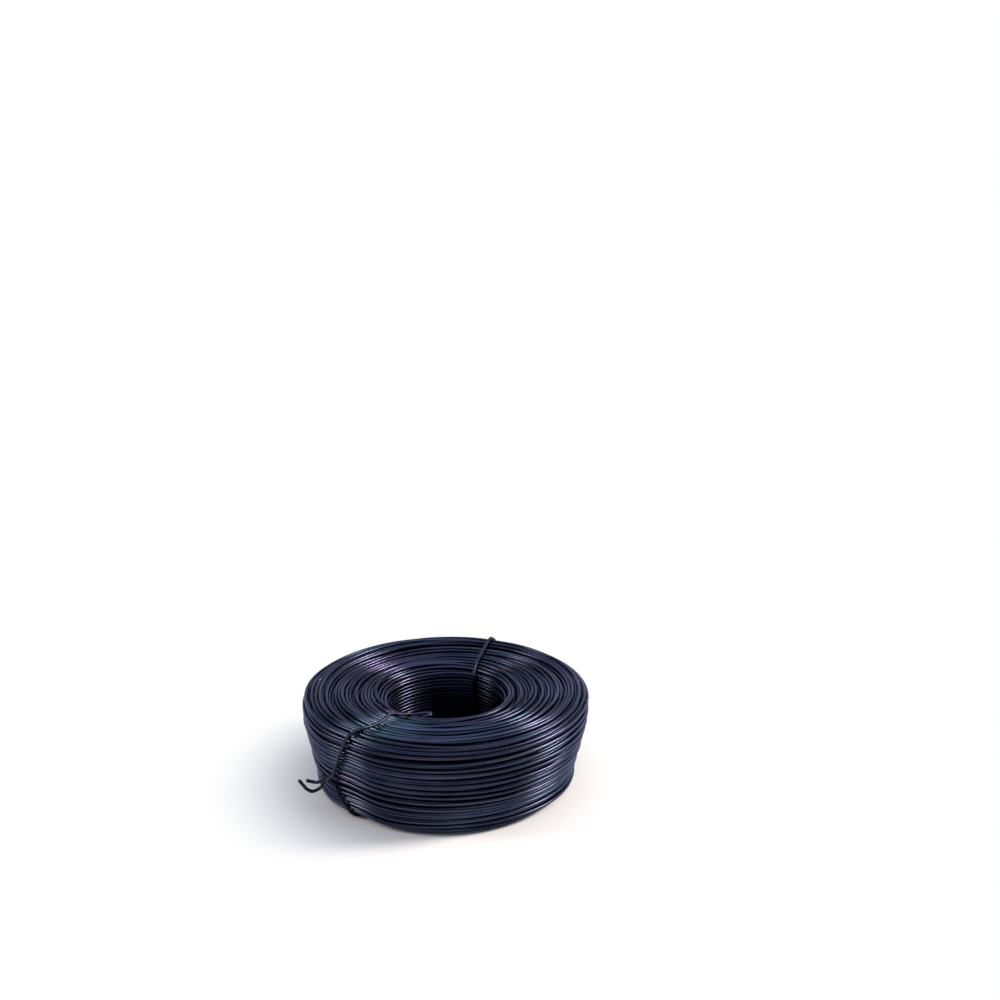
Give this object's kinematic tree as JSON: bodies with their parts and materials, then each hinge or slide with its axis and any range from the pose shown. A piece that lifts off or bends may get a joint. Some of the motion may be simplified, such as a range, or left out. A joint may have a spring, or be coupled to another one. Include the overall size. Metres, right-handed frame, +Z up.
{
  "type": "coil of binding wire",
  "caption": "Small coil of black annealed binding wire, lying flat, wound on itself round an open bore and held by two wire ties.",
  "frame": {"origin": "where the coil's axis meets the floor that it lies on", "axes": "+Z up along the coil's axis; +Y is away from the picture's camera and +X to its right"},
  "size_m": [0.1295, 0.1296, 0.0448],
  "materials": {
    "annealed_coil": "black annealed steel wire, thin oxide scale, semi-gloss",
    "annealed_tie": "black annealed steel tie wire, semi-gloss"
  },
  "bodies": {
    "root": {"wire_coil": "annealed_coil", "front_tie": "annealed_tie", "back_tie": "annealed_tie"}
  },
  "joints": []
}
